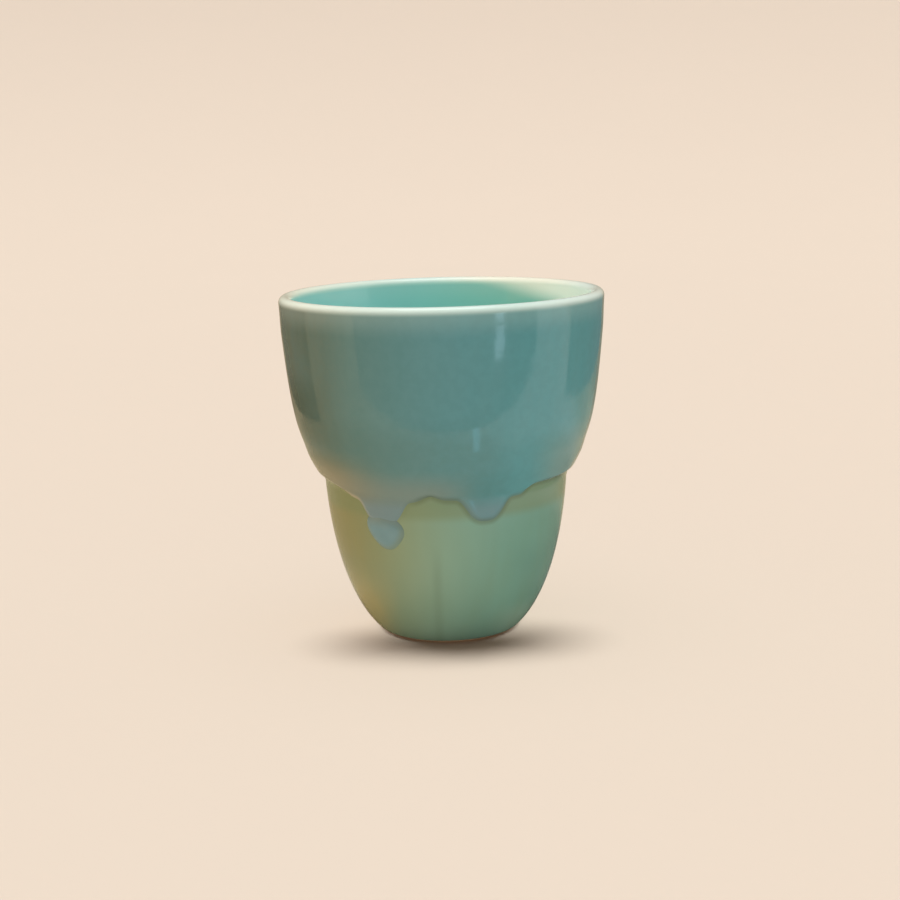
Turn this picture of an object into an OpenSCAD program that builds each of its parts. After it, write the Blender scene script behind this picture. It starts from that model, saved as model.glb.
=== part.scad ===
// Handleless coffee cup: a thrown clay body with a bulged bowl above a narrow well, dressed in
// separate coats of glaze. It stands on the origin with its axis along +Z, and its front faces -Y.

/* [Clay body] */
// Height of the clay from the table to the top of the lip
body_h = 64; // [54:0.2:76]
// Outer diameter of the clay at the lip
rim_d = 60; // [52:0.5:72]
// Outer diameter of the clay at the waist
waist_d = 45; // [39:0.5:52]
// Height of the waist above the table
waist_z = 29.9; // [25:0.1:35]
// Outer diameter of the ring that the cup stands on
foot_d = 24.4; // [20:0.2:29]
// Thickness of the clay wall
wall_t = 2; // [1.6:0.1:2.8]
// Height of the inside floor above the table, in the middle
floor_z = 4.6; // [3.8:0.1:6.4]

/* [Curves] */
// Lean of the bowl at the lip, in degrees from upright
rim_lean = 4.8; // [2:0.1:7]
// Lean of the bowl where it runs into the waist
bowl_lean = 30; // [24:0.5:40]
// Lean of the well where it leaves the waist
well_lean = 3.7; // [0.5:0.1:8]
// Lean of the well where it turns under to the foot
foot_lean = 54; // [45:0.5:65]
// How far the bowl keeps the lean of the lip
rim_reach = 22.5; // [16:0.5:26]
// How far the bowl keeps the lean of the waist
bowl_reach = 9.8; // [6:0.2:12]
// How far the well keeps the lean of the waist
well_reach = 15; // [10:0.5:18]
// How far the well keeps the lean of the foot
foot_reach = 6.4; // [4:0.2:9]
// How far the inside keeps the lean of the waist
inside_reach = 16; // [12:0.5:19]
// How far the inside floor keeps level from the middle
floor_reach = 16; // [12:0.5:18]
// Radius of the hollow turn at the waist
waist_fillet = 3; // [1.6:0.1:5]

/* [Foot ring] */
// Width of the flat ring that touches the table
foot_w = 3; // [2:0.1:4.5]
// Depth of the recess inside the ring
foot_recess = 1.4; // [0.8:0.1:2]
// Width of the slope from the ring up into the recess
foot_slope = 1; // [0.4:0.1:2]

/* [Glaze coats] */
// Thickness of the coat inside the cup
liner_t = 0.3; // [0.2:0.05:0.5]
// Thickness of the pale coat on top of the lip
lip_t = 0.2; // [0.1:0.05:0.4]
// Thickness of the blue-green coat outside the bowl
upper_t = 0.4; // [0.25:0.05:0.6]
// Thickness of the celadon coat outside the well
lower_t = 0.35; // [0.25:0.05:0.5]
// How far the pale coat comes down below the half-round of the lip
lip_band = 0.3; // [0.1:0.1:3]
// Height over which the coats thin out towards the lip
lip_fade = 6; // [3:0.5:10]
// Height of the celadon coat that is hidden under the blue-green one
overlap = 3; // [1.5:0.1:5]
// Height over which the blue-green coat climbs over the hidden edge
overlap_fade = 4; // [2:0.5:6]
// Height of the bare clay left above the table
foot_bare = 0.4; // [0.3:0.1:2]

/* [Glaze runs] */
// Height of the blue-green coat's edge above the waist, between the runs
edge_rise = 1.1; // [0.6:0.1:3]
// Radius of the hollow turn where a run leaves the edge
run_fillet = 3.4; // [1:0.1:4]
// Turn of the bead from the front, to the right
bead_turn = -30; // [-60:1:60]
// Width of the bead
bead_w = 7.8; // [5:0.1:10]
// How far the bead stands proud of the celadon coat
bead_proud = 0.7; // [0.4:0.05:1.2]
// Drop of the bead's middle below the edge
bead_drop = 7.7; // [6.5:0.1:9]
// Width of the run that feeds the bead
feed_w = 9.2; // [6:0.2:11]
// How far that run laps onto the bead
feed_lap = 2.2; // [0.8:0.1:3]

/* [Hidden] */
$fn = 96;

// Each run of the blue-green coat: its turn from the front, half its width, and its drop below the edge
RUNS = [
    [-48, 4, 2.2], [bead_turn, feed_w / 2, bead_drop - bead_w / 2 + feed_lap],
    [-2, 4.5, 1.5], [17.5, 4, 6], [34, 2.2, 2],
    [96, 3, 3.4], [124, 4.4, 7.2], [152, 2.2, 2.4], [181, 5, 5.4],
    [212, 3, 8.6], [238, 2.2, 2.6], [264, 3.8, 4.4]
];

// Straight steps that stand for each curved stretch
bowl_steps = 14;
waist_steps = 4;
well_steps = 14;
lip_steps = 10;
run_steps = 8;

// Heights of the coats' edges
lip_edge_z = body_h - wall_t / 2 - lip_band;
edge_z = waist_z + edge_rise;
lower_top_z = edge_z + overlap;
bead_z = edge_z - bead_drop;
deepest_run = max([for (run = RUNS) run[2]]);

// Room past the cup for the blocks that trim the coats
past = 2;

// Direction of travel down a wall that leans in by some degrees, and the way out of that wall
function down(lean) = [-sin(lean), -cos(lean)];
function outward(lean) = [cos(lean), -sin(lean)];

// Eased step from 0 to 1
function ease(x) = let (u = min(1, max(0, x))) u * u * (3 - 2 * u);

// Corners of the cubic curve from p to q that holds each end's lean for its reach
function curve(p, p_lean, p_reach, q, q_lean, q_reach) =
    [p, p + p_reach * down(p_lean), q - q_reach * down(q_lean), q];
function point_at(c, t) =
    pow(1 - t, 3) * c[0] + 3 * t * pow(1 - t, 2) * c[1] + 3 * t * t * (1 - t) * c[2] + pow(t, 3) * c[3];
function travel_at(c, t) =
    pow(1 - t, 2) * (c[1] - c[0]) + 2 * t * (1 - t) * (c[2] - c[1]) + t * t * (c[3] - c[2]);

// A station is a point of the clay's outline with the lean whose outward way leaves the clay there
function stations(c, steps, turned = 0) = [
    for (i = [0:steps]) let (way = travel_at(c, i / steps))
        [point_at(c, i / steps), atan2(-way.x, -way.y) - turned]
];
function points(outline) = [for (s = outline) s[0]];
function reversed(list) = [for (i = [len(list) - 1:-1:0]) list[i]];

// The outline grown away from the clay by a thickness that may change with height
function coated(outline, thickness) =
    [for (s = outline) s[0] + thickness(s[0].y) * outward(s[1])];

// Outside of the clay, from the lip down to the foot, with a round hollow turn at the waist
lip_middle = [rim_d / 2 - wall_t / 2, body_h - wall_t / 2];
waist_corner = [waist_d / 2, waist_z];
waist_set_back = waist_fillet * tan((bowl_lean - well_lean) / 2);
bowl_end = waist_corner - waist_set_back * down(bowl_lean);
well_start = waist_corner + waist_set_back * down(well_lean);
waist_middle = bowl_end + waist_fillet * outward(bowl_lean);
bowl_curve = curve(lip_middle + wall_t / 2 * outward(rim_lean), rim_lean, rim_reach,
    bowl_end, bowl_lean, bowl_reach);
well_curve = curve(well_start, well_lean, well_reach, [foot_d / 2, 0], foot_lean, foot_reach);
bowl_outside = stations(bowl_curve, bowl_steps);
waist_outside = [
    for (i = [1:waist_steps - 1]) let (lean = bowl_lean + (well_lean - bowl_lean) * i / waist_steps)
        [waist_middle - waist_fillet * outward(lean), lean]
];
outside = concat(bowl_outside, waist_outside, stations(well_curve, well_steps));

// Half-round lip, from the outside over the top
lip = [
    for (i = [1:lip_steps - 1]) let (lean = rim_lean - 180 * i / lip_steps)
        [lip_middle + wall_t / 2 * outward(lean), lean]
];

// Inside of the clay: one wall's thickness in from the bowl and waist, then a rounded well to the floor
inside_curve = curve(well_start - wall_t * outward(well_lean), well_lean, inside_reach,
    [0, floor_z], 90, floor_reach);
inside = concat(
    [for (s = concat(bowl_outside, waist_outside)) [s[0] - wall_t * outward(s[1]), s[1] - 180]],
    stations(inside_curve, well_steps, 180)
);

// Underside: the flat ring, the slope and the recess
foot_inner_r = foot_d / 2 - foot_w;
underside = [[0, foot_recess], [foot_inner_r - foot_slope, foot_recess], [foot_inner_r, 0]];

// Thickness of the coats at a height
lower_coat = function (z) lower_t;
outer_coat = function (z)
    lip_t + (upper_t - lip_t) * ease((lip_middle.y - z) / lip_fade)
    + lower_t * ease((lower_top_z + overlap_fade - z) / overlap_fade);
inner_coat = function (z) lip_t + (liner_t - lip_t) * ease((lip_middle.y - z) / lip_fade);
lip_coat = function (z) lip_t;

// The clay's own section, and the section of the clay with its glaze over the lip
clay_section = concat(underside, reversed(points(outside)), points(lip), points(inside));
glazed_section = concat([[0, 0]], reversed(coated(outside, outer_coat)), coated(lip, lip_coat),
    coated(inside, inner_coat));

// Everything between the axis and an outside or inside surface
module within(surface) polygon(concat(surface, [[0, 0], [0, body_h]]));
module hollow(surface) polygon(concat(surface, [[0, body_h + past]], [surface[0] + [0, past]]));

// Everything between two heights
module between(low, high) translate([0, low]) square([rim_d, high - low]);

module lower_section() {
    intersection() {
        between(foot_bare, lower_top_z);
        difference() {
            within(coated(outside, lower_coat));
            within(points(outside));
        }
    }
}

module upper_section() {
    intersection() {
        between(edge_z - deepest_run - past, lip_edge_z);
        difference() {
            within(coated(outside, outer_coat));
            within(points(outside));
            lower_section();
        }
    }
}

// Half of a run's outline, from the edge round the hollow turn and the tip to the lowest point
function half_run(half_w, drop) =
    let (
        tip_y = half_w - drop,
        meets_tip = tip_y > -run_fillet,
        turn_x = meets_tip
            ? sqrt(pow(half_w + run_fillet, 2) - pow(tip_y + run_fillet, 2))
            : half_w + run_fillet,
        tip_start = meets_tip ? atan2(-run_fillet - tip_y, turn_x) : 0
    )
    concat(
        [[turn_x, max(tip_y, 0) + past]],
        [for (i = [0:run_steps]) let (a = 90 + (90 + tip_start) * i / run_steps)
            [turn_x, -run_fillet] + run_fillet * [cos(a), sin(a)]],
        [for (i = [meets_tip ? 1 : 0:run_steps]) let (a = tip_start - (90 + tip_start) * i / run_steps)
            [0, tip_y] + half_w * [cos(a), sin(a)]]
    );
function run_outline(half_w, drop) =
    let (half = half_run(half_w, drop))
    concat(half, [for (i = [len(half) - 2:-1:0]) [-half[i].x, half[i].y]]);

// The space that the blue-green coat fills: all above its edge, and the runs below it
module run_space() {
    translate([0, 0, edge_z]) cylinder(r = rim_d, h = body_h);
    for (run = RUNS)
        rotate([0, 0, run[0]])
            translate([0, 0, edge_z])
                rotate([90, 0, 0])
                    linear_extrude(rim_d) polygon(run_outline(run[1], run[2]));
}

// The ball whose cap shows as the bead: its size follows from the cap's width and height on a round wall
bead_seat_r = lookup(bead_z, [for (p = points(outside)) [p.y, p.x]]) + lower_t;
bead_ball_r = 1 / (8 * bead_proud / pow(bead_w, 2) + 1 / bead_seat_r);
module bead_ball() {
    rotate([0, 0, bead_turn])
        translate([0, bead_ball_r - bead_seat_r - bead_proud, bead_z])
            sphere(bead_ball_r);
}

// Fired clay, bare only on the foot ring and in its recess
module clay_body() {
    color("tan") rotate_extrude() polygon(clay_section);
}

// Turquoise coat inside the cup
module liner_glaze() {
    color("mediumaquamarine") rotate_extrude() intersection() {
        between(0, lip_edge_z);
        difference() {
            hollow(points(inside));
            hollow(coated(inside, inner_coat));
        }
    }
}

// Pale coat over the lip
module lip_glaze() {
    color("honeydew") rotate_extrude() intersection() {
        between(lip_edge_z, body_h + past);
        difference() {
            polygon(glazed_section);
            polygon(clay_section);
        }
    }
}

// Blue-green coat of the bowl, with its runs over the waist
module upper_glaze() {
    color("cadetblue") difference() {
        intersection() {
            rotate_extrude() upper_section();
            run_space();
        }
        bead_ball();
    }
}

// Celadon coat of the well
module lower_glaze() {
    color("darkseagreen") rotate_extrude() lower_section();
}

// Drop of thick glaze that ran ahead of its coat
module run_bead() {
    color("lightsteelblue") difference() {
        bead_ball();
        rotate_extrude() within(coated(outside, lower_coat));
    }
}

clay_body();
liner_glaze();
lip_glaze();
upper_glaze();
lower_glaze();
run_bead();
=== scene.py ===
# Handleless coffee cup: a thrown and fired clay body dressed in separate coats of glossy glaze.
# It stands on the origin with its axis along +Z, and its front faces -Y.
from math import cos, pi, radians, sin, tan

import bmesh
import bpy
import numpy as np
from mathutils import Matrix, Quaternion, Vector
from mathutils.geometry import interpolate_bezier
from mathutils.kdtree import KDTree


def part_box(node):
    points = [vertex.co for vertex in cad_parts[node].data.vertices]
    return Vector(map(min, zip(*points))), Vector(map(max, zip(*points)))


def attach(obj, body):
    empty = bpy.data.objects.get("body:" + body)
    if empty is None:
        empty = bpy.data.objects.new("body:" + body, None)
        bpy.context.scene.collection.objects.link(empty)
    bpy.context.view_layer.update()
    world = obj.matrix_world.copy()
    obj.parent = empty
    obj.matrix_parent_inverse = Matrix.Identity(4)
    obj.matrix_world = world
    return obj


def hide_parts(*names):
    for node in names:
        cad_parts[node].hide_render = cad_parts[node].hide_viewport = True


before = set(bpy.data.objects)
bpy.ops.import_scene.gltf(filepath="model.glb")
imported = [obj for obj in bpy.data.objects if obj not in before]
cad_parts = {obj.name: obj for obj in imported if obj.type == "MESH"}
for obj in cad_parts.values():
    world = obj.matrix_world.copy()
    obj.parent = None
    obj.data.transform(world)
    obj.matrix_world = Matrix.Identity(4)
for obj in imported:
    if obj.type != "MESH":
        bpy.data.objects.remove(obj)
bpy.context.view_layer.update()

# Clay body
# Buff stoneware, thrown on the wheel: half-round lip, bulged bowl, hollow waist and a well that turns under.
# The foot ring and its recess were trimmed with a tool and left bare, and glaze hides the rest.
mm = 0.001
clay_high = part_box("clay_body")[1]
body_h = clay_high.z
rim_r = clay_high.x
wall_t = 2 * mm
waist_r = 22.5 * mm
waist_z = 29.9 * mm
waist_fillet = 3 * mm
foot_r = 12.2 * mm
foot_w = 3 * mm
foot_recess = 1.4 * mm
foot_slope = 1 * mm
foot_round = 0.3 * mm
tool_mark = 0.04 * mm
tool_pitch = 1.5 * mm
floor_z = 4.6 * mm
rim_lean, rim_reach = 4.8, 22.5 * mm
bowl_lean, bowl_reach = 30, 9.8 * mm
well_lean, well_reach = 3.7, 15 * mm
foot_lean, foot_reach = 54, 6.4 * mm
inside_reach, floor_reach = 16 * mm, 16 * mm
curve_points = 320
waist_points = 40
lip_points = 80
recess_points = 40
clay_step = 0.7 * mm
clay_columns = 128
sharp_turn = radians(40)
seam_gap = 1e-7
ring_play = 1e-6


def down(lean):
    """Way down a wall that leans in by some degrees, as radius and height."""
    return Vector((-sin(radians(lean)), -cos(radians(lean))))


def outward(lean):
    """Way out of that wall."""
    return Vector((cos(radians(lean)), -sin(radians(lean))))


def wall_curve(high, high_lean, high_reach, low, low_lean, low_reach):
    """Points down a wall that keeps each end's lean for its reach."""
    knees = high + high_reach * down(high_lean), low - low_reach * down(low_lean)
    return [Vector(p[:2]) for p in interpolate_bezier(high, *knees, low, curve_points)]


def arc(middle, radius, start, end, points):
    """Points on a round turn whose outward way leans from start to end."""
    return [middle + radius * outward(start + (end - start) * i / points) for i in range(points + 1)]


lip_middle = Vector((rim_r - wall_t / 2, body_h - wall_t / 2))
waist_corner = Vector((waist_r, waist_z))
waist_set_back = waist_fillet * tan(radians(bowl_lean - well_lean) / 2)
bowl_end = waist_corner - waist_set_back * down(bowl_lean)
well_start = waist_corner + waist_set_back * down(well_lean)
waist_middle = bowl_end + waist_fillet * outward(bowl_lean)
bowl_start = lip_middle + wall_t / 2 * outward(rim_lean)
bowl = wall_curve(bowl_start, rim_lean, rim_reach, bowl_end, bowl_lean, bowl_reach)
waist = arc(waist_middle, -waist_fillet, bowl_lean, well_lean, waist_points)
well = wall_curve(well_start, well_lean, well_reach, Vector((foot_r, 0)), foot_lean, foot_reach)
lip_round = arc(lip_middle, wall_t / 2, rim_lean, rim_lean - 180, lip_points)
inside_top = well_start - wall_t * outward(well_lean)
inside_well = wall_curve(inside_top, well_lean, inside_reach, Vector((0, floor_z)), 90, floor_reach)


def ways_out(points):
    """Way out of the clay at each point of a line that goes up the outside and down the inside."""
    ahead = np.gradient(points, axis=0)
    ahead /= np.linalg.norm(ahead, axis=1, keepdims=True)
    return np.stack([ahead[:, 1], -ahead[:, 0]], axis=1)


# One line round the clay: up the outside from the foot, over the lip, and down the inside to the axis,
# which it meets square
bowl_up = np.array(bowl[:0:-1])
waist_up = np.array(waist[:0:-1])
wall_up = np.concatenate([waist_up, bowl_up])
wall_down = (wall_up - wall_t * ways_out(wall_up))[::-1]
clay_line = np.concatenate([
    np.array(well[:0:-1]), waist_up, bowl_up, np.array(lip_round[:-1]), wall_down, np.array(inside_well[1:])
])
clay_out = ways_out(clay_line)
clay_out[-1] = 0, 1
clay_way = np.concatenate([[0], np.cumsum(np.linalg.norm(np.diff(clay_line, axis=0), axis=1))])
outside_points = len(well) + len(waist) + len(bowl) - 3


def way_to(height):
    """Length along the clay's line to a height on its outside."""
    return np.interp(height, clay_line[:outside_points, 1], clay_way[:outside_points])


def height_at(way):
    """Height of the clay's line at a length along it."""
    return np.interp(way, clay_way, clay_line[:, 1])


def on_clay(turn, way, proud):
    """Points that stand proud of the clay, at a turn from the front and a length along its line."""
    radius = np.interp(way, clay_way, clay_line[:, 0]) + proud * np.interp(way, clay_way, clay_out[:, 0])
    height = height_at(way) + proud * np.interp(way, clay_way, clay_out[:, 1])
    return np.stack([radius * np.sin(turn), -radius * np.cos(turn), height], axis=1)


def closed(bm, name):
    """Closes the poles and seams of a spun shape and makes it an object with smooth faces."""
    bmesh.ops.remove_doubles(bm, verts=bm.verts[:], dist=seam_gap)
    bmesh.ops.recalc_face_normals(bm, faces=bm.faces[:])
    for face in bm.faces:
        face.smooth = True
    for edge in bm.edges:
        edge.smooth = edge.calc_face_angle(0) < sharp_turn
    mesh = bpy.data.meshes.new(name)
    bm.to_mesh(mesh)
    bm.free()
    piece = bpy.data.objects.new(name, mesh)
    bpy.context.scene.collection.objects.link(piece)
    return piece


def dress(piece, finish, node):
    """Gives a piece its finish and puts it in its node's place on the cup."""
    piece.data.materials.append(finish.material)
    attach(piece, "root")
    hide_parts(node)


class Finish:
    """A material, with short names for the nodes that its colour, gloss and relief are mixed from."""

    def __init__(self, name):
        self.material = bpy.data.materials.new(name)
        self.material.use_nodes = True
        self.tree = self.material.node_tree
        self.shader = self.tree.nodes["Principled BSDF"]
        self.place = self.node("TexCoord").outputs["Object"]
        axes = self.node("SeparateXYZ")
        self.feed(axes.inputs[0], self.place)
        self.x, self.y, self.z = axes.outputs

    def node(self, kind):
        """A new node of a kind."""
        return self.tree.nodes.new("ShaderNode" + kind)

    def feed(self, socket, value):
        """Links another node's output to a socket, or sets a plain value on it."""
        if isinstance(value, bpy.types.NodeSocket):
            self.tree.links.new(value, socket)
        else:
            socket.default_value = value

    def mark(self, name):
        """A number kept on each point of the piece."""
        node = self.node("Attribute")
        node.attribute_name = name
        return node.outputs["Fac"]

    def span(self, value, start, end):
        """Eased step from 0 where a value is at start to 1 where it is at end."""
        node = self.node("MapRange")
        node.interpolation_type = "SMOOTHSTEP"
        self.feed(node.inputs["Value"], value)
        node.inputs["From Min"].default_value = start
        node.inputs["From Max"].default_value = end
        return node.outputs["Result"]

    def by_x(self, start, end):
        """Eased step from left to right, between two places in millimetres."""
        return self.span(self.x, start * mm, end * mm)

    def by_y(self, start, end):
        """Eased step from front to back, between two places in millimetres."""
        return self.span(self.y, start * mm, end * mm)

    def by_z(self, start, end):
        """Eased step up the cup, between two heights in millimetres."""
        return self.span(self.z, start * mm, end * mm)

    def slide(self, value, start, end):
        """Even step from 0 where a value is at start to 1 where it is at end."""
        socket = self.span(value, start, end)
        socket.node.interpolation_type = "LINEAR"
        return socket

    def math(self, operation, a, b=0.0):
        """One step of arithmetic."""
        node = self.node("Math")
        node.operation = operation
        self.feed(node.inputs[0], a)
        self.feed(node.inputs[1], b)
        return node.outputs[0]

    def away(self, x=0.0, y=0.0):
        """Distance from the upright line through a place."""
        flat = self.node("CombineXYZ")
        self.feed(flat.inputs["X"], self.x)
        self.feed(flat.inputs["Y"], self.y)
        node = self.node("VectorMath")
        node.operation = "DISTANCE"
        self.feed(node.inputs[0], flat.outputs[0])
        node.inputs[1].default_value = (x, y, 0)
        return node.outputs["Value"]

    def grain(self, size, detail=2.0, stretch=(1, 1, 1)):
        """Cloudy noise with clouds of about the given size, which may be drawn out along an axis."""
        mapping = self.node("Mapping")
        self.feed(mapping.inputs["Vector"], self.place)
        mapping.inputs["Scale"].default_value = [1 / (size * s) for s in stretch]
        noise = self.node("TexNoise")
        self.feed(noise.inputs["Vector"], mapping.outputs["Vector"])
        noise.inputs["Scale"].default_value = 1
        noise.inputs["Detail"].default_value = detail
        return noise.outputs["Fac"]

    def mix(self, amount, a, b):
        """Colour a with an amount of colour b."""
        node = self.node("Mix")
        node.data_type = "RGBA"
        self.feed(node.inputs[0], amount)
        self.feed(node.inputs[6], a)
        self.feed(node.inputs[7], b)
        return node.outputs[2]

    def tinted(self, hue, *tints):
        """A hue that takes on each tint in turn: its tone, its share, and the places that bound it."""
        for tone, share, *places in tints:
            for place in places:
                share = self.math("MULTIPLY", place, share)
            hue = self.mix(share, hue, tone)
        return hue

    def across(self, value, *stops):
        """Colour that passes through stops of (value from 0 to 1, colour)."""
        node = self.node("ValToRGB")
        self.feed(node.inputs[0], value)
        ramp = node.color_ramp
        ramp.interpolation = "B_SPLINE"
        while len(ramp.elements) < len(stops):
            ramp.elements.new(1)
        for element, (at, tone) in zip(ramp.elements, stops):
            element.position = at
            element.color = tone
        return node.outputs[0]

    def relief(self, height, depth):
        """Small relief of a depth in metres."""
        node = self.node("Bump")
        node.inputs["Distance"].default_value = depth
        self.feed(node.inputs["Height"], height)
        self.feed(self.shader.inputs["Normal"], node.outputs["Normal"])

    def set(self, **sockets):
        """Feeds the shader's own sockets."""
        for name, value in sockets.items():
            self.feed(self.shader.inputs[name.replace("_", " ")], value)


def colour(red, green, blue):
    """Colour as it is read off a screen, from 0 to 255."""
    parts = [c / 255 for c in (red, green, blue)]
    return [c / 12.92 if c <= 0.04045 else ((c + 0.055) / 1.055) ** 2.4 for c in parts] + [1]


thinned = np.arange(0, clay_way[-1], clay_step)
clay_section = [(np.interp(w, clay_way, clay_line[:, 0]), height_at(w)) for w in thinned]
recess_r = foot_r - foot_w - foot_slope
recess_section = [
    (r, foot_recess + tool_mark * sin(2 * pi * r / tool_pitch))
    for r in np.linspace(0, recess_r, recess_points)
]
bm = bmesh.new()
clay_points = recess_section + [(foot_r - foot_w, 0)] + clay_section + [(0, floor_z)]
corners = [bm.verts.new((r, 0, z)) for r, z in clay_points]
edges = [bm.edges.new(pair) for pair in zip(corners, corners[1:])]
bmesh.ops.spin(bm, geom=corners + edges, cent=(0, 0, 0), axis=(0, 0, 1), angle=2 * pi, steps=clay_columns,
               use_merge=True)
bmesh.ops.remove_doubles(bm, verts=bm.verts[:], dist=seam_gap)
ring_edges = [e for e in bm.edges if all(abs(v.co.z) < ring_play for v in e.verts)
              and abs(e.verts[0].co.xy.length - e.verts[1].co.xy.length) < ring_play]
bmesh.ops.bevel(bm, geom=ring_edges, offset=foot_round, offset_type="OFFSET", segments=3, profile=0.5,
                affect="EDGES", material=-1, clamp_overlap=True)
clay_body = closed(bm, "fired_clay_body")

bare_clay = Finish("bare_buff_clay")
clay_cloud = bare_clay.grain(4 * mm, detail=4)
clay_grit = bare_clay.grain(0.35 * mm, detail=2)
clay_colour = bare_clay.mix(clay_cloud, colour(196, 166, 128), colour(214, 190, 154))
clay_speck = bare_clay.span(clay_grit, 0.66, 0.72)
bare_clay.set(
    Base_Color=bare_clay.mix(clay_speck, clay_colour, colour(126, 92, 62)),
    Roughness=bare_clay.math("ADD", bare_clay.math("MULTIPLY", clay_cloud, 0.15), 0.75),
)
bare_clay.relief(clay_grit, 0.05 * mm)
dress(clay_body, bare_clay, "clay_body")

# Lower glaze
# Celadon coat over the well, dipped first: its top lies hidden under the upper coat, and it was wiped back
# above the foot, where it stops in a slightly wavy, rounded roll.
lower_t = 0.35 * mm
lower_top = way_to(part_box("lower_glaze")[1].z)
foot_bare = 0.42 * mm
lower_foot = way_to(foot_bare)
foot_wave = 0.06 * mm
lower_roll = 0.9 * mm
lower_roll_share = 0.02
lower_fade = 2 * mm
coat_dip = 0.04
coat_columns = 360


def ease(x):
    """Eased step from 0 to 1."""
    u = np.clip(x, 0, 1)
    return u * u * (3 - 2 * u)


def rolled(gap, width):
    """Share of a coat's thickness at a gap from its rounded edge."""
    return 1 - (1 - np.clip(gap / width, 0, 1)) ** 2


def evenness(turn, way):
    """Share of the full thickness that a poured coat has, a little less in slow waves."""
    swell = np.sin(3 * turn + 110 * way) + np.sin(5 * turn - 190 * way + 1)
    swell = swell + np.sin(2 * turn + 260 * way + 2)
    return 1 - coat_dip + coat_dip * swell / 3


def sleeve(section, columns, draw_on, open_end=False):
    """Rolls a flat sheet round a section of (along, proud) pairs and draws it onto the cup."""
    rows = len(section) - 1 if open_end else len(section)
    bm = bmesh.new()
    bmesh.ops.create_grid(bm, x_segments=columns, y_segments=rows, size=0.5)
    flat = np.array([v.co for v in bm.verts]) + 0.5
    turn = np.round(flat[:, 0] * columns) / columns * 2 * pi
    row = np.round(flat[:, 1] * rows).astype(int) % len(section)
    along, proud = np.array(section)[row].T
    drawn, marks = draw_on(turn, along, proud)
    for name, values in marks.items():
        layer = bm.verts.layers.float.new(name)
        for vert, value in zip(bm.verts, values):
            vert[layer] = value
    for vert, place in zip(bm.verts, drawn):
        vert.co = place
    return bm


def both_sides(outer, inner):
    """Section of a coat: down its outer side at the first stations, and back up its seat at the second."""
    return [(a, 1) for a in outer] + [(a, 0) for a in reversed(inner)]


# Edge of the upper glaze, which the lower one's colours follow too
edge_z = 31.05 * mm
edge_way = way_to(edge_z)
edge_r = 23 * mm
run_merge = 3
# Each run: its turn from the front in degrees, half its width, its drop and how square its tip is
runs = [
    (-43, 6 * mm, 2.6 * mm, 2), (-30.5, 4.9 * mm, 6.4 * mm, 4), (-16, 3.4 * mm, 2.2 * mm, 2),
    (2, 3.6 * mm, 1.8 * mm, 3), (17.8, 4.5 * mm, 6 * mm, 3), (33, 2.6 * mm, 2 * mm, 3),
    (96, 3.2 * mm, 3.4 * mm, 3), (124, 4.6 * mm, 7 * mm, 3), (152, 2.6 * mm, 2.4 * mm, 2),
    (181, 5.2 * mm, 5.2 * mm, 3), (212, 3.2 * mm, 8.2 * mm, 3), (236, 2.6 * mm, 2.6 * mm, 2),
    (258, 3.9 * mm, 4 * mm, 3),
]


def edge_drop(turn):
    """How far the edge hangs below its level line at a turn from the front."""
    merged = 0
    for middle, half_w, drop, square in runs:
        away = np.abs((turn - radians(middle) + pi) % (2 * pi) - pi) * edge_r
        merged = merged + (drop * np.exp(-(away / half_w) ** square)) ** run_merge
    return merged ** (1 / run_merge)


edge_columns = 720
edge_points = 7201
edge_crowding = 0.6
fine_turn = np.linspace(0, 2 * pi, edge_points)
fine_way = edge_way - edge_drop(fine_turn)
edge_travel = np.concatenate([[0], np.cumsum(np.hypot(np.diff(fine_turn) * edge_r, np.diff(fine_way)))])
edge_share = edge_crowding * edge_travel / edge_travel[-1] + (1 - edge_crowding) * fine_turn / (2 * pi)
edge_turns = np.interp(np.arange(edge_columns) / edge_columns, edge_share, fine_turn)
edge_ways = edge_way - edge_drop(edge_turns)
edge_line = KDTree(edge_points)
for i, point in enumerate(on_clay(fine_turn, fine_way, np.full(edge_points, lower_t))):
    edge_line.insert(point, i)
edge_line.balance()


def gap_to_edge(points):
    """Distance of points from the upper coat's edge."""
    return np.array([edge_line.find(p)[2] for p in points])


def draw_lower(turn, along, proud):
    """Lays the celadon coat from its wavy foot line up to its hidden top."""
    foot_line = lower_foot + foot_wave * (np.sin(3 * turn + 1) + np.sin(7 * turn) / 2)
    way = foot_line + along * (lower_top - foot_line)
    thick = lower_t * rolled(way - foot_line, lower_roll) * ease((lower_top - way) / lower_fade)
    drawn = on_clay(turn, way, proud * thick * evenness(turn, way))
    return drawn, {"edge_gap": gap_to_edge(drawn)}


foot_rows = list(np.linspace(0, 1, 9) ** 2 * lower_roll_share)
lower_rows = foot_rows + list(np.linspace(lower_roll_share, 1, 80))[1:]
lower_section = both_sides(lower_rows, lower_rows[::2])
lower_glaze = closed(sleeve(lower_section, coat_columns, draw_lower), "celadon_coat")

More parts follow.
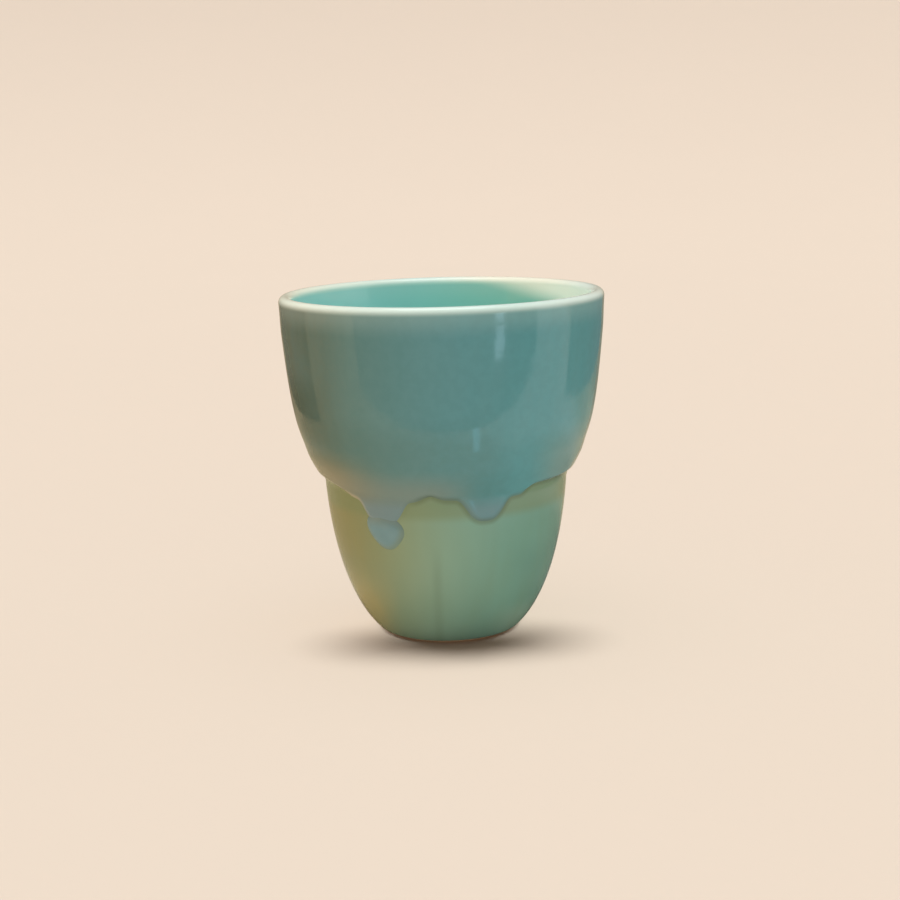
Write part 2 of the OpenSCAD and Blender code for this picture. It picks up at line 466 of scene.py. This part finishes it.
celadon = Finish("celadon_glaze")
celadon_gap = celadon.mark("edge_gap")
# Ochre at the left to green at the right: partly the glaze's own colour, partly painted warm light
# from the left and painted cool light from the right
celadon_hue = celadon.across(
    celadon.slide(celadon.x, -24 * mm, 24 * mm),
    (0.0, colour(136, 109, 28)), (0.25, colour(142, 143, 96)), (0.5, colour(130, 168, 152)),
    (0.75, colour(107, 163, 154)), (1.0, colour(110, 150, 136)),
)
front_line_x = -2 * mm
beside_front_line = celadon.math("ABSOLUTE", celadon.math("SUBTRACT", celadon.x, front_line_x))
celadon_front_line = celadon.span(beside_front_line, 1.4 * mm, 0.1 * mm)
celadon_hue = celadon.tinted(
    celadon_hue,
    # Slow clouds, and olive painted shade in the band under the bowl's overhang, just below the upper coat's
    # edge
    (colour(122, 152, 122), 0.25, celadon.grain(14 * mm)),
    (colour(116, 128, 84), 0.5, celadon.by_z(24.8, 27)),
    # Painted shade low down and at the right, honey at the left of the foot that is partly glaze and partly
    # painted warm light, and a paler painted reflection and bounce of the bright floor where it turns under
    (colour(86, 120, 108), 0.38, celadon.by_z(21, 2), celadon.by_x(16, 4)),
    (colour(182, 158, 92), 0.6, celadon.by_z(17, 6), celadon.by_x(-8, -16)),
    (colour(74, 112, 104), 0.28, celadon.by_x(8, 16), celadon.by_z(22, 15)),
    (colour(150, 176, 160), 0.5, celadon.by_x(6, 13), celadon.by_z(9, 3)),
    # Upright streaks, one faint darker upright line in front, and a dark line along the upper coat's edge,
    # partly pooled glaze and partly painted shade under the edge
    (colour(112, 134, 106), 0.3, celadon.grain(3.5 * mm, detail=1, stretch=(1, 1, 14))),
    (colour(84, 100, 76), 0.16, celadon_front_line, celadon.by_z(22, 14), celadon.by_y(0, -6)),
    (colour(84, 98, 70), 0.5, celadon.span(celadon_gap, 1.1 * mm, 0.1 * mm), celadon.by_x(-9, -4)),
)
celadon.set(Base_Color=celadon_hue, Roughness=0.1, IOR=1.5)
celadon.relief(celadon.grain(1.2 * mm), 0.01 * mm)
dress(lower_glaze, celadon, "lower_glaze")

# Upper glaze
# Blue-green coat of the bowl, dipped last and a little too thick: it crept over the waist in the kiln and
# set in lobes with a fat rounded edge, over the top of the celadon.
upper_t = 0.4 * mm
lip_t = 0.19 * mm
lip_fade = 6 * mm
lip_band = 0.3 * mm
overlap_fade = 4 * mm
upper_top = way_to(lip_middle.y - lip_band)
roll_zone = 1.4 * mm
upper_roll = 1.3 * mm
roll_steps = 12
roll_crowding = 1.6
fat_t = 0.06 * mm
fat_w = 2 * mm
fine_ahead = np.stack([np.gradient(fine_turn) * edge_r, np.gradient(fine_way)])
fine_ahead /= np.linalg.norm(fine_ahead, axis=0)
edge_in_turn = np.interp(edge_turns, fine_turn, -fine_ahead[1]) / edge_r
edge_in_way = np.interp(edge_turns, fine_turn, fine_ahead[0])


def outer_coat(way):
    """Thickness of all the glaze outside the clay, as far as the upper coat reaches."""
    height = height_at(way)
    bare = lip_t + (upper_t - lip_t) * ease((lip_middle.y - height) / lip_fade)
    return bare + lower_t * ease((lower_top - way) / overlap_fade + 1)


def draw_upper(turn, along, proud):
    """Lays the upper coat in columns down from the lip, which end square to the edge where it rolls."""
    column = np.round(turn % (2 * pi) / (2 * pi) * edge_columns).astype(int) % edge_columns
    inset = np.clip(2 - along, 0, 1) * roll_zone
    low_turn = edge_turns[column] + inset * edge_in_turn[column]
    low_way = edge_ways[column] + inset * edge_in_way[column]
    top_turn = column * 2 * pi / edge_columns
    share = np.minimum(along, 1)
    turn = top_turn + share * ((low_turn - top_turn + pi) % (2 * pi) - pi)
    way = upper_top + share * (low_way - upper_top)
    seat = lower_t * ease((lower_top - way) / lower_fade) * evenness(turn, way)
    gap = gap_to_edge(on_clay(turn, way, seat))
    full = outer_coat(way) * evenness(turn, way) + fat_t * np.exp(-(gap / fat_w) ** 2)
    return on_clay(turn, way, seat + proud * (full - seat) * rolled(gap, upper_roll)), {"edge_gap": gap}


bowl_rows = list(np.linspace(0, 1, 60))
roll_rows = [2 - (1 - i / roll_steps) ** roll_crowding for i in range(1, roll_steps + 1)]
upper_seat_rows = bowl_rows[::2] + [1] + roll_rows[1::3]
upper_section = both_sides(bowl_rows + roll_rows, upper_seat_rows)
upper_glaze = closed(sleeve(upper_section, edge_columns, draw_upper), "blue_green_coat")


def bowl_hue(glaze):
    """Bowl's blue-green in faint upright streaks: olive left, bluer right, partly painted warm and cool
    light.
    """
    # Olive at the left, darker near its edge, and bluer to the right: partly the glaze's own shift, partly
    # painted
    # warm light from the left, a painted dark reflection near the left edge and painted cool light at the
    # right
    hue = glaze.across(
        glaze.slide(glaze.x, -31 * mm, 31 * mm),
        (0.0, colour(108, 108, 86)), (0.14, colour(80, 95, 77)), (0.24, colour(92, 125, 116)),
        (0.5, colour(94, 147, 154)), (0.75, colour(84, 153, 162)), (1.0, colour(80, 140, 144)),
    )
    streak = glaze.grain(5 * mm, stretch=(1, 1, 6))
    mottle = glaze.span(glaze.grain(1.6 * mm, detail=4), 0.35, 0.65)
    return glaze.tinted(hue, (colour(112, 146, 146), 0.3, streak), (colour(74, 116, 114), 0.1, mottle))


def break_to_pale(glaze, hue):
    """Breaks a coat's hue to pale over the lip, where the glaze thins; its cream back right is partly
    painted warm light.
    """
    pale = glaze.across(
        glaze.slide(glaze.x, -30 * mm, 30 * mm),
        (0.0, colour(248, 250, 230)), (0.3, colour(226, 244, 234)), (0.7, colour(214, 242, 236)),
        (1.0, colour(236, 246, 236)),
    )
    # Cream at the back right of the lip, partly thin glaze and partly painted warm light from the left
    pale = glaze.tinted(pale, (colour(253, 250, 230), 1, glaze.by_y(4, 20), glaze.by_x(-6, 12)))
    tail = glaze.math("MULTIPLY", glaze.by_z(58.5, 63), 0.12)
    top = glaze.math("MULTIPLY", glaze.by_z(62.5, 64), 0.88)
    return glaze.mix(glaze.math("ADD", tail, top), hue, pale)


blue = Finish("blue_green_glaze")
blue_gap = blue.mark("edge_gap")
blue_hue = blue.tinted(
    break_to_pale(blue, bowl_hue(blue)),
    # Greyer over the waist and paler at its right, a painted reflection and bounce of the bright floor,
    # painted warm light at its left, and milky in the runs
    (colour(138, 146, 136), 0.6, blue.by_z(36, 30.5), blue.by_x(7, -3)),
    (colour(160, 135, 86), 0.6, blue.by_z(39, 32), blue.by_x(-9, -22)),
    (colour(148, 158, 144), 0.4, blue.by_z(43, 35), blue.by_x(14, 22)),
    (colour(124, 152, 164), 0.5, blue.by_z(30, 27)),
    # Painted shade low on the bowl, and a dark olive patch at its left that is a painted dark reflection
    (colour(58, 86, 68), 0.22, blue.by_z(46, 39), blue.by_x(14, 6)),
    (colour(58, 66, 36), 0.5, blue.by_x(-19, -27), blue.by_z(53, 46), blue.by_z(36, 41)),
    # Dark line along the edge, partly pooled glaze and partly painted shade, and at the left a pale line
    # instead, a painted highlight where the rolled edge catches warm light
    (colour(94, 108, 84), 0.45, blue.span(blue_gap, 1.0 * mm, 0), blue.by_x(-9, -4)),
    (colour(176, 160, 118), 0.6, blue.span(blue_gap, 1.2 * mm, 0.1 * mm), blue.by_x(-13, -16.5)),
)
blue.set(Base_Color=blue_hue, Roughness=0.1, IOR=1.5)
blue_rings = blue.math("MULTIPLY", blue.grain(3 * mm, stretch=(9, 9, 1)), 3)
blue.relief(blue.math("ADD", blue.grain(1.4 * mm), blue_rings), 0.01 * mm)
dress(upper_glaze, blue, "upper_glaze")

# Run bead
# A thick drop of the upper glaze that ran ahead of its coat and set on the celadon, milky where it is deep.
# It is a flat lens with a rounded rim, a little wider than it is tall.
bead_turn = radians(-30.3)
bead_half_w = 3.7 * mm
bead_slant = 0.6 * mm
bead_half_h = 3.4 * mm
bead_proud = 0.7 * mm
bead_z = 23.4 * mm
bead_way = way_to(bead_z)
bead_lump = 0.05
bead_shoulder = 2.4
bead_dome = 0.8
bm = bmesh.new()
bmesh.ops.create_uvsphere(bm, u_segments=96, v_segments=48, radius=1)
ball = np.array([v.co for v in bm.verts])
around = np.arctan2(ball[:, 1], ball[:, 0])
from_middle = np.hypot(ball[:, 0], ball[:, 1])
reach = from_middle * (1 + bead_lump * np.sin(3 * around + 0.6) + bead_lump / 2 * np.cos(4 * around))
bead_seat_r = np.interp(bead_way, clay_way, clay_line[:, 0]) + lower_t
bead_across = bead_half_w * np.cos(around) - bead_slant * np.sin(around)
bead_turns = bead_turn + reach * bead_across / bead_seat_r
bead_ways = bead_way + reach * np.sin(around) * bead_half_h
bead_height = bead_proud * np.clip(1 - from_middle ** bead_shoulder, 0, 1) ** bead_dome
bead_swell = np.where(ball[:, 2] > 0, bead_height, 0)
bead_seat = lower_t * evenness(bead_turns, bead_ways)
rim_mark = bm.verts.layers.float.new("from_middle")
for vert, place, part in zip(bm.verts, on_clay(bead_turns, bead_ways, bead_seat + bead_swell), from_middle):
    vert.co = place
    vert[rim_mark] = part
run_bead = closed(bm, "milky_bead")

milky = Finish("milky_glaze")
milky_hue = milky.tinted(
    milky.mix(milky.grain(3 * mm), colour(106, 136, 136), colour(116, 148, 152)),
    # Greyer at the top, where the run feeds it, and olive round the rim below
    (colour(122, 136, 124), 0.8, milky.by_z(23.5, 26)),
    (colour(118, 132, 106), 0.6, milky.span(milky.mark("from_middle"), 0.6, 1.0), milky.by_z(25.5, 23)),
)
milky.set(Base_Color=milky_hue, Roughness=0.1, IOR=1.5)
milky.relief(milky.grain(1.2 * mm), 0.01 * mm)
dress(run_bead, milky, "run_bead")

# Liner glaze
# Turquoise coat poured inside and tipped out again: thin at the lip, pooled a little deeper on the floor.
# It is melted onto the clay, and turns cream along one side of the lip: partly thin glaze, partly painted
# warm light.
liner_t = 0.3 * mm
pool_t = 0.5 * mm
pool_top = 12 * mm
axis_fade = 6 * mm
cream_z = 61.7 * mm
cream_lean = 3.5
way_end = clay_way[-1]
lip_round_end = np.searchsorted(clay_way, way_to(lip_middle.y)) + len(lip_round)
lip_inner = np.interp(-(lip_middle.y - lip_band), -clay_line[lip_round_end:, 1], clay_way[lip_round_end:])


def inner_coat(way):
    """Thickness of the glaze inside the cup."""
    height = height_at(way)
    thin = lip_t + (liner_t - lip_t) * ease((lip_middle.y - height) / lip_fade)
    return thin + pool_t * ease((pool_top - height) / (pool_top - floor_z))


def draw_liner(turn, along, proud):
    """Lays the liner from the lip down to the middle of the floor."""
    way = lip_inner + along * (way_end - lip_inner)
    even = 1 + (evenness(turn, way) - 1) * ease((way_end - way) / axis_fade)
    return on_clay(turn, way, proud * inner_coat(way) * even), {}


liner_rows = list(np.linspace(0, 1, 110))
liner_section = [(a, 1) for a in reversed(liner_rows)] + [(a, 0) for a in liner_rows[::2] + [1]]
liner_glaze = closed(sleeve(liner_section, coat_columns, draw_liner, open_end=True), "turquoise_liner")


def liner_hue(glaze):
    """Turquoise inside, bluer left and cream at the lip's right: partly glaze, partly painted cool and warm
    light.
    """
    # Bluer on the left wall, partly painted cool light where the warm light from the left does not reach
    hue = glaze.across(
        glaze.slide(glaze.x, -30 * mm, 30 * mm),
        (0.0, colour(146, 214, 216)), (0.3, colour(140, 210, 208)), (0.6, colour(128, 198, 184)),
        (1.0, colour(138, 186, 160)),
    )
    cloud = glaze.grain(12 * mm)
    # Cream at the right of the lip and down the wall, partly thin glaze and partly painted warm light from
    # the left
    lean = glaze.math("MULTIPLY", glaze.math("SUBTRACT", glaze.z, cream_z), cream_lean)
    cream = glaze.span(glaze.math("ADD", glaze.x, lean), 9.5 * mm, 25 * mm)
    return glaze.tinted(hue, (colour(136, 208, 202), 0.2, cloud), (colour(253, 252, 232), 1, cream))


turquoise = Finish("turquoise_glaze")
turquoise_hue = break_to_pale(turquoise, liner_hue(turquoise))
turquoise.set(Base_Color=turquoise_hue, Roughness=0.08, IOR=1.5)
turquoise.relief(turquoise.grain(1.4 * mm), 0.01 * mm)
dress(liner_glaze, turquoise, "liner_glaze")

# Lip glaze
# Thin pale skin over the half-round lip, where both coats drew back in the fire and broke to mint and cream.
# It joins the outer coat to the liner, so its two ends are as thick as they are there.


def draw_lip(turn, along, proud):
    """Lays the lip's skin between the tops of the outer coat and the liner."""
    way = upper_top + along * (lip_inner - upper_top)
    height = height_at(way)
    coat = np.where(way < (upper_top + lip_inner) / 2, outer_coat(way), inner_coat(way))
    coat = np.where(height > lip_middle.y, lip_t, coat)
    return on_clay(turn, way, proud * coat * evenness(turn, way)), {}


lip_rows = list(np.linspace(0, 1, 49))
lip_section = both_sides(lip_rows, lip_rows[::2])
lip_glaze = closed(sleeve(lip_section, coat_columns, draw_lip), "pale_lip")

pale = Finish("pale_lip_glaze")
pale_inside = pale.span(pale.away(), lip_middle.x + 0.4 * mm, lip_middle.x - 0.4 * mm)
pale_hue = break_to_pale(pale, pale.mix(pale_inside, bowl_hue(pale), liner_hue(pale)))
pale.set(Base_Color=pale_hue, Roughness=0.1, IOR=1.5)
pale.relief(pale.grain(1.4 * mm), 0.008 * mm)
dress(lip_glaze, pale, "lip_glaze")

# Floor
# Plain pale paper sweep that the cup stands on: flat round it, then curved up gently on all sides.
# The cup's gloss shows a darker table in its place, which lies a hair above it and is hidden otherwise.
flat_r = 0.9
sweep_r = 2.5
sweep_steps = 40
sweep_columns = 96
table_rise = 0.05 * mm


def floor_sheet(name, rise, finish):
    """A sheet for the cup to stand on, lifted by a rise."""
    bends = [pi / 2 * i / sweep_steps for i in range(sweep_steps + 1)]
    sweep = [(0, rise)] + [(flat_r + sweep_r * sin(b), sweep_r * (1 - cos(b)) + rise) for b in bends]
    bm = bmesh.new()
    corners = [bm.verts.new((r, 0, z)) for r, z in sweep]
    edges = [bm.edges.new(pair) for pair in zip(corners, corners[1:])]
    bmesh.ops.spin(bm, geom=corners + edges, cent=(0, 0, 0), axis=(0, 0, 1), angle=2 * pi,
                   steps=sweep_columns, use_merge=True)
    sheet = closed(bm, name)
    sheet.data.materials.append(finish.material)
    return sheet


def only_in_gloss(piece):
    """Hides a piece of the stage from all but reflections."""
    piece.visible_camera = False
    piece.visible_diffuse = False
    piece.visible_shadow = False
    piece.visible_transmission = False


paper = Finish("pale_paper")
paper_tone = paper.mix(paper.grain(0.2), colour(193, 170, 155), colour(194, 171, 156))
paper.set(Base_Color=paper_tone, Roughness=1.0, Specular_IOR_Level=0.0)
paper_sheet = floor_sheet("paper_sweep", 0, paper)

table = Finish("dim_table")
table_tone = table.across(
    table.slide(table.x, -0.12, 0.12),
    (0.0, (0.62, 0.46, 0.26, 1)), (0.45, (0.5, 0.46, 0.36, 1)), (0.7, (0.8, 0.85, 0.8, 1)),
    (1.0, (0.9, 0.95, 0.95, 1)),
)
# A painted shadow of the cup on the table, centred to the right of the foot
table_painted_shadow = table.span(table.away(40 * mm, 10 * mm), 75 * mm, 30 * mm)
table_tone = table.tinted(
    table_tone,
    # Dimmer towards the back, and a painted shadow of the cup, darkest to its right
    ((0.52, 0.44, 0.29, 1), 1, table.by_y(10, 80)),
    ((0.32, 0.26, 0.17, 1), 1, table.by_y(120, 220)),
    ((0.08, 0.09, 0.07, 1), 0.8, table_painted_shadow),
)
table.set(Base_Color=table_tone, Roughness=1.0, Specular_IOR_Level=0.0)
table_sheet = floor_sheet("table_sweep", table_rise, table)
only_in_gloss(table_sheet)

# Lights
# A wide overhead light and level fills for the cup, a softer overhead light for the paper, and even light
# from all round. Hidden ovals shade the foot and the paper round it. The gloss shows the boards, no lamp.


def group(name, *pieces):
    """Collection that a light is linked to."""
    collection = bpy.data.collections.new(name)
    for piece in pieces:
        collection.objects.link(piece)
    return collection


def far_light(name, place, spread, strength, lit, shades=None, tone=(1, 1, 1)):
    """Light on one group of pieces from far away, from the side that a place points to."""
    light = bpy.data.lights.new(name, "SUN")
    light.energy = strength
    light.color = tone
    light.angle = radians(spread)
    light.use_shadow = shades is not None
    light.cycles.use_multiple_importance_sampling = light.use_shadow
    lamp = bpy.data.objects.new(name, light)
    lamp.rotation_mode = "QUATERNION"
    lamp.rotation_quaternion = Vector(place).to_track_quat("Z", "Y")
    lamp.visible_glossy = False
    lamp.light_linking.receiver_collection = lit
    lamp.light_linking.blocker_collection = shades
    bpy.context.scene.collection.objects.link(lamp)


def oval_shade(name, place, half_wide, half_deep):
    """A level oval that nothing shows but the shadow it casts."""
    bm = bmesh.new()
    bmesh.ops.create_circle(bm, cap_ends=True, segments=48, radius=1)
    bmesh.ops.scale(bm, verts=bm.verts, vec=(half_wide, half_deep, 1))
    bmesh.ops.translate(bm, verts=bm.verts, vec=place)
    piece = closed(bm, name)
    piece.visible_glossy = False
    piece.visible_camera = False
    piece.visible_diffuse = False
    piece.visible_transmission = False
    return piece


foot_shade_r = foot_r + 1.5 * mm
foot_shade = oval_shade("foot_shade", (0, 0, foot_recess), foot_shade_r, foot_shade_r)
contact_shade_r = foot_r + 0.9 * mm
contact_shade = oval_shade("contact_shade", (0, 0, 1.2 * mm), contact_shade_r, contact_shade_r)
near_shade = oval_shade("near_shade", (2.2 * mm, -14 * mm, 12 * mm), 13.6 * mm, 8.5 * mm)
wide_shade = oval_shade("wide_shade", (0.9 * mm, -12.5 * mm, 17.2 * mm), 22.8 * mm, 7.8 * mm)
back_shade = oval_shade("back_shade", (0, 12 * mm, 7 * mm), 11.5 * mm, 13 * mm)
cup_group = group(
    "cup_group", clay_body, lower_glaze, upper_glaze, run_bead, liner_glaze, lip_glaze, table_sheet
)
cup_shades = group("cup_shades", lower_glaze, foot_shade)
paper_group = group("paper_group", paper_sheet)
paper_shades = group("paper_shades", contact_shade, near_shade, wide_shade, back_shade)
far_light("overhead_light", (-0.01, 0.06, 1), 24, 1.96, cup_group, cup_shades)
far_light("left_fill", (-0.8, -0.3, 0.06), 20, 0.97, cup_group)
far_light("right_fill", (0.7, -0.6, 0.06), 20, 0.75, cup_group)
far_light("back_fill", (0, 1, 0.06), 20, 0.48, cup_group)
far_light("paper_light", (0, 0, 1), 60, 4.8, paper_group, paper_shades, tone=(0.86, 1, 1.02))
world = bpy.data.worlds.new("studio")
world.use_nodes = True
surround = world.node_tree.nodes["Background"]
surround.inputs["Color"].default_value = (0.96, 1.02, 1.1, 1)
surround.inputs["Strength"].default_value = 0.22
bpy.context.scene.world = world
bpy.context.scene.view_settings.view_transform = "Standard"

# Flags and cards
# Dark boards that stand round the cup and pale cards beside them, which glow though they are no lamp.
# They paint dark and bright reflections and highlights, and only the gloss shows them.


def board(name, place, face, wide, high, glow, turn=0):
    """A board that only reflections show: its middle, where it faces, its size, its glow and its turn."""
    bm = bmesh.new()
    bmesh.ops.create_grid(bm, x_segments=1, y_segments=1, size=0.5)
    stand = Vector(face).to_track_quat("Z", "Y") @ Quaternion((0, 0, 1), radians(turn))
    for vert in bm.verts:
        vert.co = Vector(place) + stand @ Vector((vert.co.x * wide, vert.co.y * high, 0))
    piece = closed(bm, name)
    finish = Finish(name)
    finish.set(Base_Color=(0, 0, 0, 1), Specular_IOR_Level=0.0)
    finish.set(Emission_Color=[*glow, 1], Emission_Strength=1.0)
    piece.data.materials.append(finish.material)
    only_in_gloss(piece)


flag_h = 0.26
board("front_flag", (0.022, -0.094, flag_h / 2), (0, 1, 0), 0.354, flag_h, (0.08, 0.09, 0.09))
board("left_flag", (-0.125, 0.14, flag_h / 2), (1, 0, 0), 0.24, flag_h, (0.16, 0.15, 0.11))
board("right_flag", (0.165, 0.155, flag_h / 2), (-1, 0, 0), 0.29, flag_h, (0.17, 0.2, 0.2))
board("overhead_card", (0, 0, 0.5), (0, 0, -1), 0.3, 0.3, (2.4, 2.5, 2.5))
board("window_card", (0.0645, -0.092, 0.0365), (0, 1, 0), 0.015, 0.016, (1.6, 2.3, 2.7))
board("streak_card", (0.0168, -0.05, 0.0205), (0, 1, 0), 0.004, 0.0165, (1.1, 1.9, 2.3), turn=-8)

# Camera
# A short way in front of the cup, a little above it, and turned a little clockwise.
eye_distance = 0.303
eye_lift = radians(11.512)
eye_roll = radians(-1.4755)
eye_lens = 63.894
aim_right = 0.887 * mm
aim_up = 1.917 * mm
middle = Vector((0, 0, body_h / 2))
eye = middle + eye_distance * Vector((0, -cos(eye_lift), sin(eye_lift)))
aim = middle + Vector((aim_right, aim_up * sin(eye_lift), aim_up * cos(eye_lift)))
camera_data = bpy.data.cameras.new("camera")
camera_data.lens = eye_lens
camera_data.sensor_width = 36
camera_data.clip_start = 0.01
camera = bpy.data.objects.new("camera", camera_data)
camera.location = eye
camera.rotation_mode = "QUATERNION"
camera.rotation_quaternion = (aim - eye).to_track_quat("-Z", "Y") @ Quaternion((0, 0, 1), eye_roll)
bpy.context.scene.collection.objects.link(camera)
bpy.context.scene.camera = camera
